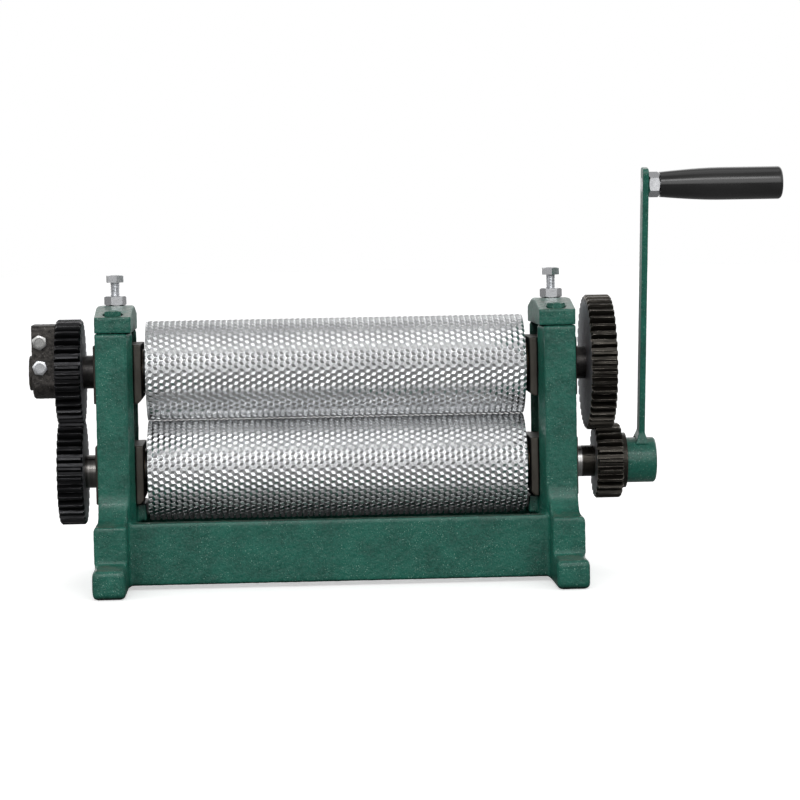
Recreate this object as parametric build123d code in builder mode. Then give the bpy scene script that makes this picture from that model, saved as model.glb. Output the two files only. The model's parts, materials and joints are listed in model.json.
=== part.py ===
from build123d import *

import os
from math import acos, cos, degrees, pi, radians, sin, sqrt, tan

# Hand-cranked beeswax foundation mill: two embossed rolls in a cast frame.
# +X runs along the rolls to the crank, +Y to the back, +Z up.
# The origin is on the bench, under the middle of the frame.  Millimetres.

os.makedirs("parts", exist_ok=True)

# ---------------------------------------------------------------- driving sizes
# gears
gear_module = 2.5
pressure_angle = 20.0
timing_teeth = 33            # the equal pair at the left end
drive_teeth = 43             # big gear on the upper roll
pinion_teeth = 2 * timing_teeth - drive_teeth
gear_backlash = 0.20
gear_width = 21.3
gear_end_chamfer = 1.6
flank_points = 6

# rolls
roll_length = 311.0
nip_gap = 0.5
roll_core_d = 44.0
journal_d = 26.0
seat_d = 20.0
roll_edge_chamfer = 0.8

# fits
running_clearance = 0.05     # radial, turning or sliding pieces
slide_clearance = 0.05       # each side of a block in its window
end_float = 0.2              # axial, between pieces that turn past each other

# heights and the frame's section
lower_axis_z = 93.5
block_below_axis = 25.0
block_above_axis = 23.0
upright_above_axis = 33.5    # upper roll axis to the top of the upright
upright_width = 30.0
post_depth = 20.0
window_half = 31.0
post_chamfer_x = 4.5
post_chamfer_y = 15.0
end_gap = 10.0               # roll end to the inside of the upright
block_gap = 3.5              # roll end to the bearing block
block_proud = 2.8            # block beyond the outside of the upright
flange_overlap = 3.0
flange_corner = 3.0
pedestal_height = 15.0
pedestal_gap = 2.0           # roll end to the pedestal
pedestal_half = 24.0

# base
base_top_z = 54.8
base_half = 76.4
base_step = 2.9              # base beyond the outside of the upright
base_inset = 5.9             # base inside face back from the upright's
foot_height = 24.1
foot_half = 108.8
foot_corner_r = 4.5
flare_r = 24.0
rail_proud = 0.8
rail_thickness = 14.0
rail_bottom_z = 3.5
rail_top_z = 54.4

# caps, their bolts and the adjusting screws
cap_edge_height = 12.8
cap_peak_height = 21.0
cap_flat_half = 11.0
cap_edge_r = 2.0
cap_bolt_d = 8.0
cap_bolt_flats = 13.0
cap_bolt_head = 5.3
cap_bolt_inset = 9.0         # side of the window to a cap bolt
cap_bolt_reach = 24.0
spot_face_d = 15.6
spot_face_height = 12.6
screw_d = 8.0
screw_flats = 13.0
screw_head = 6.0
screw_head_lift = 40.0       # underside of the head above the upright's top
screw_pocket = 2.0
screw_pocket_clearance = 0.3
lock_nut_flats = 16.0
lock_nut_height = 8.0

# lift springs between the bearing blocks
spring_wire_d = 2.4
spring_mean_d = 19.0
spring_turns = 5.0
spring_end_gap = 0.15

# bushes, washers, collars, keys, rings
bush_od = 34.0
washer_od = 36.0
collar_od = 27.4
gear_stand_off = 12.5        # outside of the upright to the gears
key_width = 6.0
key_in_shaft = 3.5
key_in_gear = 2.8
key_length = 17.0
ring_od = 26.0
ring_thickness = 1.2
ring_groove_depth = 0.5
shaft_beyond_ring = 1.2

# phase hub on the upper left gear
phase_hub_width = 19.7
phase_hub_d = 43.0
phase_collar_d = 29.0
phase_collar_proud = 3.2
lug_height = 40.0
lug_half = 19.0
lug_base_r = 4.0
phase_slot_half = 7.0
phase_pin_d = 8.0
phase_pin_radius = 26.0
phase_bolt_flats = 11.0
phase_bolt_head = 5.0
phase_bolt_d = 7.0
clamp_bolt_rise = 5.2
phase_bolt_x = 12.7          # hub's inner face to the bolt axes

# pinion, crank and grip
pinion_offset = 6.7          # big gear's inner face to the pinion's
pinion_width = 21.7
pinion_flange_d = 46.0
pinion_flange = 4.2
crank_hub_d = 37.9
crank_hub_width = 25.1
crank_hub_chamfer = 1.5
hub_recess_d = 30.0
hub_recess = 6.0
end_washer_od = 28.0
end_washer = 2.2
end_screw_head = 3.2
end_screw_length = 18.0
dowel_d = 5.0
dowel_radius = 14.3
dowel_length = 18.0
arm_thickness = 5.0
arm_width = 15.0
arm_setback = 10.8           # crank hub's inner face to the arm
arm_beyond_handle = 13.8
arm_corner_r = 4.0
weld_leg = 3.2
weld_height = 6.5
crank_radius = 233.0
crank_lean = 11.1            # degrees from upright towards the front, at rest
handle_nut_flats = 18.0
handle_nut = 9.0
spindle_thread_d = 12.0
spindle_d = 10.0
spindle_head_flats = 16.0
spindle_head = 5.0
grip_length = 100.0
grip_neck_d = 20.6
grip_d = 26.7
grip_swell = 52.0
grip_end_r = 3.0
grip_recess_d = 19.4
grip_recess = 7.0

# ------------------------------------------------------------- derived positions
axis_distance = gear_module * timing_teeth
upper_axis_z = lower_axis_z + axis_distance
roll_d = axis_distance - nip_gap
half_roll = roll_length / 2

block_inner_x = half_roll + block_gap
upright_inner_x = half_roll + end_gap
upright_outer_x = upright_inner_x + upright_width
block_outer_x = upright_outer_x + block_proud
base_inner_x = upright_inner_x + base_inset
base_outer_x = upright_outer_x + base_step
screw_x = (upright_inner_x + upright_outer_x) / 2
gear_inner_x = upright_outer_x + gear_stand_off
gear_outer_x = gear_inner_x + gear_width
seat_start_x = block_outer_x + end_float * 2

upright_half = window_half + post_depth
cap_bolt_y = window_half + cap_bolt_inset
sill_z = lower_axis_z - block_below_axis
upright_top_z = upper_axis_z + upright_above_axis
pedestal_bottom_z = sill_z - pedestal_height
rail_front_y = upright_half + rail_proud
cap_peak_z = upright_top_z + cap_peak_height
screw_tip_z = upper_axis_z + block_above_axis - screw_pocket
screw_head_z = upright_top_z + screw_head_lift

ring_x = gear_outer_x
shaft_end_x = ring_x + ring_thickness + shaft_beyond_ring

pinion_inner_x = gear_inner_x + pinion_offset
pinion_outer_x = pinion_inner_x + pinion_width
journal_end_x = seat_start_x + 5.0
pinion_hub_x = journal_end_x + end_float * 2
flange_outer_x = pinion_outer_x + pinion_flange
crank_hub_outer_x = flange_outer_x + crank_hub_width
crank_shaft_end_x = crank_hub_outer_x - hub_recess + end_float
arm_inner_x = flange_outer_x + arm_setback
arm_outer_x = arm_inner_x + arm_thickness
nut_outer_x = arm_outer_x + handle_nut
grip_inner_x = nut_outer_x + end_float * 2
grip_outer_x = grip_inner_x + grip_length
spindle_end_x = grip_outer_x - grip_recess + end_float

lean = radians(crank_lean)
handle_y = -crank_radius * sin(lean)
handle_z = lower_axis_z + crank_radius * cos(lean)

SIDES = {"left": -1, "right": 1}
ALONG_X = (0, 90, 0)
FROM_START = (Align.CENTER, Align.CENTER, Align.MIN)
FROM_CORNER = (Align.MIN, Align.MIN, Align.MIN)


# ------------------------------------------------------------------- small tools
def save(piece, label):
    """Label a finished piece and write it to its STEP file."""
    piece.part.label = label
    export_step(piece.part, f"parts/{label}.step")


def x_plane(x, y, z):
    """A plane facing +X, with its own x along Y and its own y along Z."""
    return Plane(origin=(x, y, z), x_dir=(0, 1, 0), z_dir=(1, 0, 0))


def disc(x_a, x_b, diameter, z, y=0.0, mode=Mode.ADD):
    """A round length along X between two stations, in the current part."""
    with Locations((min(x_a, x_b), y, z)):
        Cylinder(diameter / 2, abs(x_b - x_a), rotation=ALONG_X, align=FROM_START, mode=mode)


def block(x_a, x_b, y_a, y_b, z_a, z_b, mode=Mode.ADD):
    """A box between two corners, in the current part."""
    with Locations((min(x_a, x_b), min(y_a, y_b), z_a)):
        Box(abs(x_b - x_a), abs(y_b - y_a), z_b - z_a, align=FROM_CORNER, mode=mode)


def ring(x_a, x_b, outer_d, bore_d, z):
    """A washer, bush or collar round the X direction."""
    with BuildPart() as piece:
        disc(x_a, x_b, outer_d, z)
        disc(x_a, x_b, bore_d, z, mode=Mode.SUBTRACT)
    return piece


def hex_bolt(seat, flats, head_height, shank_d, shank_length):
    """A hexagon bolt whose head sits on the seat plane, with its shank behind."""
    with BuildPart() as bolt:
        with BuildSketch(seat):
            RegularPolygon(flats / 2, 6, major_radius=False)
        extrude(amount=head_height)
        with BuildSketch(seat):
            Circle(shank_d / 2)
        extrude(amount=-shank_length)
    return bolt


def hex_nut(seat, flats, height, bore_d):
    """A hexagon nut that stands on the seat plane."""
    with BuildPart() as nut:
        with BuildSketch(seat):
            RegularPolygon(flats / 2, 6, major_radius=False)
            Circle(bore_d / 2, mode=Mode.SUBTRACT)
        extrude(amount=height)
    return nut


def tooth_half_angle(teeth, radius):
    """Half the angle that an involute tooth fills at a radius, in radians."""
    pitch_r = gear_module * teeth / 2
    base_r = pitch_r * cos(radians(pressure_angle))
    pitch_half = (pi * gear_module / 2 - gear_backlash) / 2 / pitch_r
    flank = acos(min(1.0, base_r / radius))
    pitch_flank = radians(pressure_angle)
    return pitch_half + (tan(pitch_flank) - pitch_flank) - (tan(flank) - flank)


def polar(radius, angle):
    """A point of the gear's plane, the angle in radians from its own x."""
    return (radius * cos(angle), radius * sin(angle))


def gear_blank(x_a, x_b, teeth, first_tooth, z):
    """A spur gear round an X axis; first_tooth is one tooth's angle from +Y to +Z."""
    pitch_r = gear_module * teeth / 2
    tip_r = pitch_r + gear_module
    root_r = pitch_r - 1.25 * gear_module
    start_r = max(root_r, pitch_r * cos(radians(pressure_angle)))
    steps = [start_r + (tip_r - start_r) * k / (flank_points - 1) for k in range(flank_points)]
    pitch = 2 * pi / teeth
    with BuildPart() as rim:
        disc(x_a, x_b, 2 * tip_r, z)
        chamfer(rim.edges(), gear_end_chamfer)
    with BuildPart() as gear:
        with BuildSketch(x_plane(x_a, 0, z)):
            with BuildLine():
                for k in range(teeth):
                    middle = radians(first_tooth) + k * pitch
                    rise = [polar(r, middle - tooth_half_angle(teeth, r)) for r in steps]
                    fall = [polar(r, middle + tooth_half_angle(teeth, r)) for r in reversed(steps)]
                    foot_a = polar(root_r, middle - tooth_half_angle(teeth, start_r))
                    foot_b = polar(root_r, middle + tooth_half_angle(teeth, start_r))
                    next_foot = polar(root_r, middle + pitch - tooth_half_angle(teeth, start_r))
                    if start_r > root_r:
                        Line(foot_a, rise[0])
                        Line(fall[-1], foot_b)
                    Spline(*rise)
                    ThreePointArc(rise[-1], polar(tip_r, middle), fall[0])
                    Spline(*fall)
                    ThreePointArc(foot_b, polar(root_r, middle + pitch / 2), next_foot)
            make_face()
        extrude(amount=x_b - x_a)
        add(rim.part, mode=Mode.INTERSECT)
    return gear


# ---------------------------------------------------------------- the frame casting
with BuildPart() as frame_casting:
    for side in SIDES.values():
        # the foot, its long bottom edges rounded
        with BuildSketch(Plane.XZ.offset(-foot_half)):
            with Locations((side * (base_inner_x + base_outer_x) / 2, foot_height / 2)):
                foot = Rectangle(base_outer_x - base_inner_x, foot_height)
            fillet(foot.vertices().group_by(Axis.Z)[0], foot_corner_r)
        extrude(amount=2 * foot_half)
        foot_corners = frame_casting.edges().filter_by(Axis.Z)
        fillet(foot_corners.filter_by(lambda e: abs(abs(e.center().Y) - foot_half) < 0.01
                                      and e.center().X * side > 0), foot_corner_r)
        # the base, flared up into the posts
        with BuildSketch(x_plane(side * base_inner_x, 0, 0)):
            for reach in (-1, 1):
                with BuildLine():
                    lower = Polyline(
                        (0, foot_height),
                        (reach * base_half, foot_height),
                        (reach * base_half, base_top_z),
                        (reach * (upright_half + flare_r), base_top_z),
                    )
                    flare = RadiusArc(
                        lower @ 1,
                        (reach * upright_half, base_top_z + flare_r),
                        reach * flare_r,
                    )
                    Polyline(flare @ 1, (0, base_top_z + flare_r), (0, foot_height))
                make_face()
        extrude(amount=side * (base_outer_x - base_inner_x))
        # the upright, its inside edges chamfered
        with BuildSketch(Plane.XY.offset(foot_height)):
            with BuildLine():
                Polyline(
                    (side * upright_inner_x, -upright_half + post_chamfer_y),
                    (side * (upright_inner_x + post_chamfer_x), -upright_half),
                    (side * upright_outer_x, -upright_half),
                    (side * upright_outer_x, upright_half),
                    (side * (upright_inner_x + post_chamfer_x), upright_half),
                    (side * upright_inner_x, upright_half - post_chamfer_y),
                    close=True,
                )
            make_face()
        extrude(amount=upright_top_z - foot_height)
        # trim the flare back to the upright's outside face
        block(
            side * upright_outer_x, side * (base_outer_x + 1), -foot_half, foot_half,
            base_top_z, base_top_z + 2 * flare_r, mode=Mode.SUBTRACT,
        )
        # pedestal under the lower bearing block
        block(
            side * (half_roll + pedestal_gap), side * base_outer_x, -pedestal_half,
            pedestal_half, pedestal_bottom_z, sill_z,
        )
        block(
            side * upright_outer_x, side * (base_outer_x + 1), -pedestal_half, pedestal_half,
            base_top_z, sill_z, mode=Mode.SUBTRACT,
        )
    for reach in (-1, 1):
        block(
            -base_inner_x, base_inner_x, reach * rail_front_y,
            reach * (rail_front_y - rail_thickness), rail_bottom_z, rail_top_z,
        )
    for side in SIDES.values():
        # the window that the bearing blocks stand in, open at the top
        block(
            side * upright_inner_x, side * upright_outer_x, -window_half, window_half,
            sill_z, upright_top_z, mode=Mode.SUBTRACT,
        )
        for reach in (-1, 1):
            with Locations((side * screw_x, reach * cap_bolt_y, upright_top_z - cap_bolt_reach)):
                Cylinder(cap_bolt_d / 2, cap_bolt_reach, align=FROM_START, mode=Mode.SUBTRACT)
    base_shoulders = frame_casting.edges().filter_by(Axis.Y).filter_by(
        lambda e: abs(e.center().Z - base_top_z) < 0.01
        and abs(abs(e.center().X) - base_outer_x) < 0.01
    )
    fillet(base_shoulders, base_step * 0.9)
save(frame_casting, "frame_casting")

# ------------------------------------------------------------ caps and their bolts
for name, side in SIDES.items():
    with BuildPart() as bearing_cap:
        with BuildSketch(x_plane(side * screw_x, 0, upright_top_z)):
            with BuildLine():
                Polyline(
                    (-upright_half, 0),
                    (upright_half, 0),
                    (upright_half, cap_edge_height),
                    (cap_flat_half, cap_peak_height),
                    (-cap_flat_half, cap_peak_height),
                    (-upright_half, cap_edge_height),
                    close=True,
                )
            make_face()
        extrude(amount=upright_width / 2, both=True)
        fillet(bearing_cap.edges().filter_by(Axis.Z), cap_edge_r)
        fillet(bearing_cap.faces().sort_by(Axis.Z)[-1].edges().filter_by(Axis.Y), cap_edge_r)
        with Locations((side * screw_x, 0, upright_top_z)):
            Cylinder(
                screw_d / 2 + running_clearance, cap_peak_height, align=FROM_START,
                mode=Mode.SUBTRACT,
            )
        for reach in (-1, 1):
            with Locations((side * screw_x, reach * cap_bolt_y, upright_top_z)):
                Cylinder(cap_bolt_d / 2, cap_peak_height, align=FROM_START, mode=Mode.SUBTRACT)
            spot_z = upright_top_z + spot_face_height
            with Locations((side * screw_x, reach * cap_bolt_y, spot_z)):
                Cylinder(spot_face_d / 2, cap_peak_height, align=FROM_START, mode=Mode.SUBTRACT)
    save(bearing_cap, f"bearing_cap_{name}")

with BuildPart() as cap_bolts:
    for side in SIDES.values():
        for reach in (-1, 1):
            spot = Plane.XY.offset(upright_top_z + spot_face_height)
            spot.origin += Vector(side * screw_x, reach * cap_bolt_y, 0)
            bolt = hex_bolt(
                spot, cap_bolt_flats, cap_bolt_head, cap_bolt_d,
                spot_face_height + cap_bolt_reach - 1.0,
            )
            add(bolt.part)
save(cap_bolts, "cap_bolts")


# -------------------------------------------------------- bearing blocks and bushes
def bearing_block(side, axis_z, pocket):
    """A block that fills its window, flanged inside, with a bush seat through it."""
    half = window_half - slide_clearance
    bottom, top = axis_z - block_below_axis, axis_z + block_above_axis
    flange_x = side * (upright_inner_x - end_float)
    with BuildPart() as piece:
        block(flange_x, side * block_outer_x, -half, half, bottom, top)
        block(
            side * block_inner_x, flange_x, -window_half - flange_overlap,
            window_half + flange_overlap, bottom, top,
        )
        corner = piece.edges().filter_by(Axis.Y).group_by(Axis.Z)[0]
        chamfer(corner.sort_by(lambda e: abs(e.center().X))[0], flange_corner)
        disc(side * block_inner_x, side * block_outer_x, bush_od, axis_z, mode=Mode.SUBTRACT)
        if pocket:
            with Locations((side * screw_x, 0, top - screw_pocket)):
                Cylinder(
                    screw_d / 2 + screw_pocket_clearance, screw_pocket, align=FROM_START,
                    mode=Mode.SUBTRACT,
                )
    return piece


for name, side in SIDES.items():
    save(bearing_block(side, lower_axis_z, pocket=False), f"lower_bearing_block_{name}")
    save(bearing_block(side, upper_axis_z, pocket=True), f"upper_bearing_block_{name}")
    for level, axis_z in (("lower", lower_axis_z), ("upper", upper_axis_z)):
        bush = ring(
            side * block_inner_x, side * block_outer_x, bush_od,
            journal_d + 2 * running_clearance, axis_z,
        )
        save(bush, f"{level}_bush_{name}")

# ------------------------------------------- adjusting screws, lock nuts, lift springs
for name, side in SIDES.items():
    head_seat = Plane(origin=(side * screw_x, 0, screw_head_z))
    adjusting_screw = hex_bolt(
        head_seat, screw_flats, screw_head, screw_d, screw_head_z - screw_tip_z,
    )
    save(adjusting_screw, f"adjusting_screw_{name}")

    nut_seat = Plane(origin=(side * screw_x, 0, cap_peak_z))
    lock_nut = hex_nut(
        nut_seat, lock_nut_flats, lock_nut_height, screw_d + 2 * running_clearance,
    )
    save(lock_nut, f"lock_nut_{name}")

    spring_bottom = lower_axis_z + block_above_axis + spring_end_gap + spring_wire_d / 2
    spring_top = upper_axis_z - block_below_axis - spring_end_gap - spring_wire_d / 2
    spring_rise = spring_top - spring_bottom
    with BuildPart() as lift_spring:
        with BuildLine() as coil:
            Helix(
                spring_rise / spring_turns, spring_rise, spring_mean_d / 2,
                center=(side * screw_x, 0, spring_bottom),
            )
        with BuildSketch(Plane(origin=coil.line @ 0, z_dir=coil.line % 0)):
            Circle(spring_wire_d / 2)
        sweep(is_frenet=True)
    save(lift_spring, f"lift_spring_{name}")


# --------------------------------------------------------------------- the two rolls
def roll_shaft(axis_z, left_end_x, right_journal_x, right_end_x):
    """Core, journals and gear seats; the ring grooves and keyways are cut later."""
    with BuildPart() as shaft:
        disc(-half_roll, half_roll, roll_core_d, axis_z)
        disc(-seat_start_x, -half_roll, journal_d, axis_z)
        disc(half_roll, right_journal_x, journal_d, axis_z)
        disc(left_end_x, -seat_start_x, seat_d, axis_z)
        disc(right_journal_x, right_end_x, seat_d, axis_z)
    return shaft


def key_start(side):
    """The key's inner end, centred in the gear's width."""
    return side * (gear_inner_x + (gear_width - key_length) / 2)


def key_block(side, axis_z, mode=Mode.ADD):
    """The key's box, half in the shaft and half in the gear, facing the back."""
    start = key_start(side)
    seat_y = sqrt((seat_d / 2) ** 2 - (key_width / 2) ** 2)
    block(
        start, start + side * key_length, seat_y - key_in_shaft, seat_d / 2 + key_in_gear,
        axis_z - key_width / 2, axis_z + key_width / 2, mode=mode,
    )


def ring_groove(side, axis_z):
    """The groove that the retaining ring snaps into, in the current part."""
    groove_d = seat_d - 2 * ring_groove_depth
    with BuildPart() as groove:
        disc(side * ring_x, side * (ring_x + ring_thickness), seat_d + 1, axis_z)
        disc(side * ring_x, side * (ring_x + ring_thickness), groove_d, axis_z,
             mode=Mode.SUBTRACT)
    return groove.part


def retaining_ring(side, axis_z):
    """An open ring in its groove, its gap at the bottom."""
    groove_d = seat_d - 2 * ring_groove_depth
    with BuildPart() as piece:
        disc(side * ring_x, side * (ring_x + ring_thickness), ring_od, axis_z)
        disc(side * ring_x, side * (ring_x + ring_thickness), groove_d, axis_z,
             mode=Mode.SUBTRACT)
        block(
            side * ring_x, side * (ring_x + ring_thickness), -2.5, 2.5,
            axis_z - ring_od, axis_z, mode=Mode.SUBTRACT,
        )
    return piece


phase_hub_outer_x = -(gear_outer_x + phase_hub_width)
phase_end_x = phase_hub_outer_x - phase_collar_proud
with BuildPart() as upper_roll_shaft:
    add(roll_shaft(upper_axis_z, phase_end_x, seat_start_x, shaft_end_x).part)
    add(ring_groove(1, upper_axis_z), mode=Mode.SUBTRACT)
    key_block(1, upper_axis_z, mode=Mode.SUBTRACT)
save(upper_roll_shaft, "upper_roll_shaft")

with BuildPart() as lower_roll_shaft:
    add(roll_shaft(lower_axis_z, -shaft_end_x, journal_end_x, crank_shaft_end_x).part)
    add(ring_groove(-1, lower_axis_z), mode=Mode.SUBTRACT)
    key_block(-1, lower_axis_z, mode=Mode.SUBTRACT)
    disc(
        crank_shaft_end_x - end_screw_length, crank_shaft_end_x, cap_bolt_d, lower_axis_z,
        mode=Mode.SUBTRACT,
    )
save(lower_roll_shaft, "lower_roll_shaft")

for level, axis_z in (("lower", lower_axis_z), ("upper", upper_axis_z)):
    roll_shell = ring(-half_roll, half_roll, roll_d, roll_core_d, axis_z)
    with BuildPart() as roll_shell_eased:
        add(roll_shell.part)
        rims = roll_shell_eased.edges().filter_by(
            lambda e: e.geom_type == GeomType.CIRCLE and e.radius > roll_core_d / 2 + 1
        )
        chamfer(rims, roll_edge_chamfer)
    save(roll_shell_eased, f"{level}_roll_shell")

    with BuildPart() as thrust_washers:
        for side in SIDES.values():
            washer = ring(
                side * half_roll, side * (block_inner_x - end_float), washer_od, journal_d, axis_z,
            )
            add(washer.part)
    save(thrust_washers, f"{level}_thrust_washers")

for name, side, axis_z in (
    ("upper_collar_left", -1, upper_axis_z),
    ("upper_collar_right", 1, upper_axis_z),
    ("lower_collar_left", -1, lower_axis_z),
):
    collar = ring(side * seat_start_x, side * gear_inner_x, collar_od, seat_d, axis_z)
    save(collar, name)

# the timing pair: a tooth of the upper gear points down into a gap of the lower one
half_pitch = 180 / timing_teeth
with BuildPart() as phasing_gear:
    add(gear_blank(-gear_outer_x, -gear_inner_x, timing_teeth, -90, upper_axis_z).part)
    disc(-gear_outer_x, -gear_inner_x, seat_d, upper_axis_z, mode=Mode.SUBTRACT)
    disc(
        -gear_outer_x, -gear_inner_x, phase_pin_d, upper_axis_z + phase_pin_radius,
        mode=Mode.SUBTRACT,
    )
save(phasing_gear, "phasing_gear")

with BuildPart() as timing_gear:
    blank = gear_blank(-gear_outer_x, -gear_inner_x, timing_teeth, 90 + half_pitch, lower_axis_z)
    add(blank.part)
    disc(-gear_outer_x, -gear_inner_x, seat_d, lower_axis_z, mode=Mode.SUBTRACT)
    key_block(-1, lower_axis_z, mode=Mode.SUBTRACT)
save(timing_gear, "timing_gear")

with BuildPart() as drive_gear:
    add(gear_blank(gear_inner_x, gear_outer_x, drive_teeth, -90, upper_axis_z).part)
    disc(gear_inner_x, gear_outer_x, seat_d, upper_axis_z, mode=Mode.SUBTRACT)
    key_block(1, upper_axis_z, mode=Mode.SUBTRACT)
save(drive_gear, "drive_gear")

for name, side, axis_z in (
    ("drive_gear_key", 1, upper_axis_z),
    ("timing_gear_key", -1, lower_axis_z),
):
    with BuildPart() as gear_key:
        key_block(side, axis_z)
    save(gear_key, name)

save(retaining_ring(1, upper_axis_z), "upper_retaining_ring")
save(retaining_ring(-1, lower_axis_z), "lower_retaining_ring")

# ------------------------------------------- phase hub: turns the upper gear on its roll
pin_z = upper_axis_z + phase_pin_radius
bolt_x = -(gear_outer_x + phase_bolt_x)
clamp_z = upper_axis_z + clamp_bolt_rise
with BuildPart() as phase_hub:
    disc(-gear_outer_x, phase_hub_outer_x, phase_hub_d, upper_axis_z)
    chamfer(phase_hub.faces().sort_by(Axis.X)[0].edges(), gear_end_chamfer)
    disc(phase_hub_outer_x, phase_end_x, phase_collar_d, upper_axis_z)
    with BuildSketch(x_plane(phase_hub_outer_x, 0, upper_axis_z)):
        with Locations((0, lug_height / 2)):
            RectangleRounded(2 * lug_half, lug_height, lug_base_r)
    extrude(amount=phase_hub_width)
    # the boss is faced flat, flush with the lug, where the bolt heads bear
    for reach in (-1, 1):
        block(
            -gear_outer_x, phase_end_x, reach * lug_half, reach * phase_hub_d,
            upper_axis_z - phase_hub_d, upper_axis_z + phase_hub_d, mode=Mode.SUBTRACT,
        )
    disc(-gear_outer_x, phase_end_x, seat_d, upper_axis_z, mode=Mode.SUBTRACT)
    # slot that the gear's pin stands in, and the bolts' threads
    block(
        -gear_outer_x, -(gear_outer_x + phase_hub_width - 4), -phase_slot_half, phase_slot_half,
        pin_z - phase_slot_half, pin_z + phase_slot_half, mode=Mode.SUBTRACT,
    )
    for z, reach_y in ((pin_z, lug_half), (clamp_z, 0)):
        with Locations((bolt_x, -lug_half, z)):
            Cylinder(
                phase_bolt_d / 2, lug_half + reach_y, rotation=(-90, 0, 0), align=FROM_START,
                mode=Mode.SUBTRACT,
            )
save(phase_hub, "phase_hub")

pin_x = -(gear_outer_x + phase_hub_width - 5)
with BuildPart() as phase_pin:
    disc(-gear_inner_x, pin_x, phase_pin_d, pin_z)
save(phase_pin, "phase_pin")

with BuildPart() as phase_bolts:
    for reach in (-1, 1):
        seat = Plane(origin=(bolt_x, reach * lug_half, pin_z), z_dir=(0, reach, 0))
        shank = lug_half - phase_pin_d / 2
        add(hex_bolt(seat, phase_bolt_flats, phase_bolt_head, phase_bolt_d, shank).part)
save(phase_bolts, "phase_bolts")

clamp_seat = Plane(origin=(bolt_x, -lug_half, clamp_z), z_dir=(0, -1, 0))
with BuildPart() as phase_clamp_bolt:
    bolt = hex_bolt(clamp_seat, phase_bolt_flats, phase_bolt_head, phase_bolt_d, lug_half)
    add(bolt.part)
    disc(-gear_outer_x, phase_end_x, seat_d, upper_axis_z, mode=Mode.SUBTRACT)
save(phase_clamp_bolt, "phase_clamp_bolt")

# --------------------------------------------------------------- pinion and crank
pinion_bore = seat_d + 2 * running_clearance
pinion_half_pitch = 180 / pinion_teeth
with BuildPart() as pinion:
    blank = gear_blank(
        pinion_inner_x, pinion_outer_x, pinion_teeth, 90 + pinion_half_pitch, lower_axis_z,
    )
    add(blank.part)
    disc(pinion_hub_x, pinion_inner_x, journal_d, lower_axis_z)
    disc(pinion_outer_x, flange_outer_x, pinion_flange_d, lower_axis_z)
    disc(pinion_hub_x, flange_outer_x, pinion_bore, lower_axis_z, mode=Mode.SUBTRACT)
    for reach in (-1, 1):
        disc(
            flange_outer_x - dowel_length / 2, flange_outer_x, dowel_d, lower_axis_z,
            reach * dowel_radius, mode=Mode.SUBTRACT,
        )
save(pinion, "pinion")

with BuildPart() as drive_dowels:
    for reach in (-1, 1):
        disc(
            flange_outer_x - dowel_length / 2, flange_outer_x + dowel_length / 2, dowel_d,
            lower_axis_z, reach * dowel_radius,
        )
save(drive_dowels, "drive_dowels")

with BuildPart() as crank_hub:
    disc(flange_outer_x, crank_hub_outer_x, crank_hub_d, lower_axis_z)
    chamfer(crank_hub.faces().sort_by(Axis.X)[-1].edges(), crank_hub_chamfer)
    disc(flange_outer_x, crank_hub_outer_x, pinion_bore, lower_axis_z, mode=Mode.SUBTRACT)
    disc(
        crank_hub_outer_x - hub_recess, crank_hub_outer_x, hub_recess_d, lower_axis_z,
        mode=Mode.SUBTRACT,
    )
    for reach in (-1, 1):
        disc(
            flange_outer_x, flange_outer_x + dowel_length / 2, dowel_d, lower_axis_z,
            reach * dowel_radius, mode=Mode.SUBTRACT,
        )
save(crank_hub, "crank_hub")

washer_x = crank_shaft_end_x
save(
    ring(washer_x, washer_x + end_washer, end_washer_od, cap_bolt_d, lower_axis_z),
    "crank_end_washer",
)
crank_end_screw = hex_bolt(
    x_plane(washer_x + end_washer, 0, lower_axis_z), cap_bolt_flats, end_screw_head,
    cap_bolt_d, end_screw_length,
)
save(crank_end_screw, "crank_end_screw")


def arm_plane(x):
    """A plane facing +X on the crank's axis, its own y along the leaning arm."""
    return Plane(
        origin=(x, 0, lower_axis_z), x_dir=(0, cos(lean), sin(lean)), z_dir=(1, 0, 0),
    )


arm_root = crank_hub_d / 2 - 3.0
arm_tip = crank_radius + arm_beyond_handle
weld_plane = Plane(
    origin=(arm_inner_x + arm_thickness / 2, -arm_root * sin(lean),
            lower_axis_z + arm_root * cos(lean)),
    x_dir=(1, 0, 0), z_dir=(0, -sin(lean), cos(lean)),
)
with BuildPart() as crank_arm:
    with BuildSketch(arm_plane(arm_inner_x)):
        with Locations((0, (arm_root + arm_tip) / 2)):
            Rectangle(arm_width, arm_tip - arm_root)
    extrude(amount=arm_thickness)
    tip_edges = crank_arm.edges().filter_by(Axis.X).group_by(Axis.Z)
    fillet(tip_edges[-1] + tip_edges[-2], arm_corner_r)
    # the weld's flare round the root
    with BuildSketch(weld_plane):
        Rectangle(arm_thickness + 2 * weld_leg, arm_width + 2 * weld_leg)
    extrude(amount=3.0 + weld_height, taper=degrees(weld_leg / (3.0 + weld_height)))
    disc(flange_outer_x, crank_hub_outer_x, crank_hub_d, lower_axis_z, mode=Mode.SUBTRACT)
    disc(arm_inner_x, arm_outer_x, spindle_thread_d, handle_z, handle_y, mode=Mode.SUBTRACT)
save(crank_arm, "crank_arm")

handle_nut_piece = hex_nut(
    x_plane(arm_outer_x, handle_y, handle_z), handle_nut_flats, handle_nut, spindle_thread_d,
)
save(handle_nut_piece, "handle_nut")

with BuildPart() as handle_spindle:
    disc(arm_inner_x, nut_outer_x, spindle_thread_d, handle_z, handle_y)
    disc(nut_outer_x, spindle_end_x, spindle_d, handle_z, handle_y)
    with BuildSketch(x_plane(spindle_end_x, handle_y, handle_z)):
        RegularPolygon(spindle_head_flats / 2, 6, major_radius=False)
    extrude(amount=spindle_head)
save(handle_spindle, "handle_spindle")

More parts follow.
